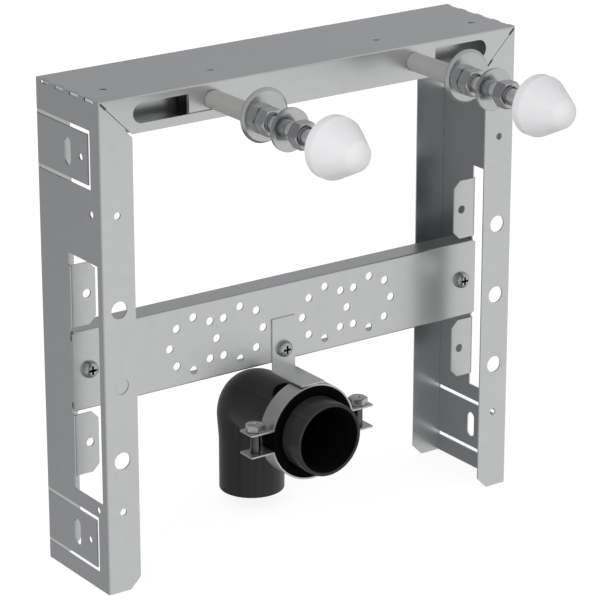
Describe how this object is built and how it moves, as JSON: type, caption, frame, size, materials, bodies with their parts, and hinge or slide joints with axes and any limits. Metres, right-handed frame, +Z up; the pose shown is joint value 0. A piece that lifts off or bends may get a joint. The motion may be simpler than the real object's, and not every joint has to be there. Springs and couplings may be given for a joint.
{
  "type": "washbasin installation frame",
  "caption": "Folded steel frame for hanging a washbasin, with capped basin studs on the header, a perforated crossbar and a clamped waste elbow.",
  "frame": {"origin": "middle of the whole object's box in X and Y, at the level of the posts' feet", "axes": "+X to the right seen from the front, +Y to the wall behind, +Z up; the basin studs point to -Y"},
  "size_m": [0.36, 0.284, 0.3737],
  "materials": {
    "frame_sheet": "galvanised sheet, satin grey",
    "crossbar_sheet": "galvanised sheet, satin grey",
    "clamp_band": "zinc plated band",
    "screws": "zinc plated, bright",
    "zinc_fixings": "zinc plated, bright",
    "cap_plastic": "white moulded plastic, slightly milky",
    "sleeve_plastic": "grey-brown plastic tube",
    "waste_plastic": "black plastic, satin",
    "lining_rubber": "black rubber, matt"
  },
  "bodies": {
    "root": {"bracket_nut": "zinc_fixings", "bracket_screw": "screws", "clamp_bolt_left": "zinc_fixings", "clamp_bolt_right": "zinc_fixings", "clamp_bracket": "crossbar_sheet", "clamp_lining": "lining_rubber", "clamp_lower_half": "clamp_band", "clamp_upper_half": "clamp_band", "crossbar": "crossbar_sheet", "crossbar_nut_left": "zinc_fixings", "crossbar_nut_right": "zinc_fixings", "crossbar_screw_left": "screws", "crossbar_screw_right": "screws", "front_nut_left": "zinc_fixings", "front_nut_right": "zinc_fixings", "front_washer_left": "zinc_fixings", "front_washer_right": "zinc_fixings", "header": "frame_sheet", "left_post": "frame_sheet", "plate_nut_left": "zinc_fixings", "plate_nut_right": "zinc_fixings", "rear_nut_left": "zinc_fixings", "rear_nut_right": "zinc_fixings", "rear_washer_left": "zinc_fixings", "rear_washer_right": "zinc_fixings", "right_post": "frame_sheet", "spacer_sleeve_left": "sleeve_plastic", "spacer_sleeve_right": "sleeve_plastic", "stud_cap_left": "cap_plastic", "stud_cap_right": "cap_plastic", "stud_left": "zinc_fixings", "stud_plate_left": "zinc_fixings", "stud_plate_right": "zinc_fixings", "stud_rail_left": "zinc_fixings", "stud_rail_right": "zinc_fixings", "stud_right": "zinc_fixings", "waste_elbow": "waste_plastic"}
  },
  "joints": []
}
